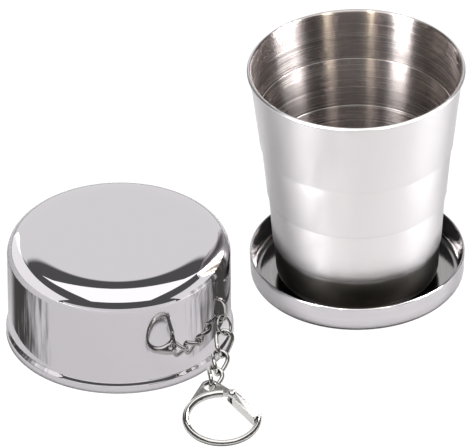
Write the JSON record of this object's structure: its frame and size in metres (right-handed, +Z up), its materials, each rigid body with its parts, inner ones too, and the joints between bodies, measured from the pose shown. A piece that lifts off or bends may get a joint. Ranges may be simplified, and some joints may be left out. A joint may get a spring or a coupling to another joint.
{
  "type": "collapsible travel cup",
  "caption": "Telescoping steel drinking cup standing open in its shallow dish, with its slip-over lid beside it and a short chain with a snap hook on the lid.",
  "frame": {"origin": "centre of the dish's underside, on the cup's axis", "axes": "+Z up the cup's axis, with the lid standing beside the cup towards -X and -Y"},
  "size_m": [0.1395, 0.1247, 0.0747],
  "materials": {
    "satin_steel": "satin, brushed round the cup",
    "dish_steel": "polished, lightly brushed",
    "mirror_steel": "mirror polished",
    "nickel": "bright plated"
  },
  "bodies": {
    "base": {"base_dish": "dish_steel", "base_cup": "satin_steel"},
    "lower_stage": {"lower_ring": "satin_steel"},
    "middle_stage": {"middle_ring": "satin_steel"},
    "upper_stage": {"upper_ring": "satin_steel"},
    "lid": {"lid_shell": "mirror_steel", "lid_lug": "nickel"},
    "ring": {"lug_ring": "nickel"},
    "link_1": {"chain_link_1": "nickel"},
    "link_2": {"chain_link_2": "nickel"},
    "link_3": {"chain_link_3": "nickel"},
    "hook": {"hook_frame": "nickel", "gate_pin": "nickel"},
    "gate": {"hook_gate": "nickel", "gate_spring": "nickel"}
  },
  "joints": [
    {"name": "lower_slide", "type": "slide", "parent": "base", "child": "lower_stage", "axis": [0, 0, -1], "range_m": [0, 0.0134]},
    {"name": "middle_slide", "type": "slide", "parent": "lower_stage", "child": "middle_stage", "axis": [0, 0, -1], "range_m": [0, 0.017]},
    {"name": "upper_slide", "type": "slide", "parent": "middle_stage", "child": "upper_stage", "axis": [0, 0, -1], "range_m": [0, 0.0177]},
    {"name": "lid_lift", "type": "slide", "parent": "base", "child": "lid", "axis": [0, 0, 1], "range_m": [0, 0.1]},
    {"name": "ring_swing", "type": "hinge", "parent": "lid", "child": "ring", "pos_m": [-0.04066, -0.04462, 0.01407], "axis": [-0.9979, -0.0644, 0], "range_deg": [0, 25]},
    {"name": "link_1_swing", "type": "hinge", "parent": "ring", "child": "link_1", "pos_m": [-0.04019, -0.04734, 0.0119], "axis": [-0.9705, 0.241, 0], "range_deg": [0, 15]},
    {"name": "link_2_swing", "type": "hinge", "parent": "link_1", "child": "link_2", "pos_m": [-0.04136, -0.05203, 0.0075], "axis": [-0.9705, 0.241, 0], "range_deg": [0, 15]},
    {"name": "link_3_swing", "type": "hinge", "parent": "link_2", "child": "link_3", "pos_m": [-0.04284, -0.05801, 0.0054], "axis": [-0.9705, 0.241, 0], "range_deg": [0, 15]},
    {"name": "hook_swing", "type": "hinge", "parent": "link_3", "child": "hook", "pos_m": [-0.04437, -0.06417, 0.00467], "axis": [-0.97, 0.2431, 0], "range_deg": [0, 50]},
    {"name": "gate_hinge", "type": "hinge", "parent": "hook", "child": "gate", "pos_m": [-0.03841, -0.07026, 0.00383], "axis": [0, 0.1357, -0.9907], "range_deg": [0, 32], "stiffness_Nm_per_rad": 0.002, "springref_deg": -28.65}
  ]
}
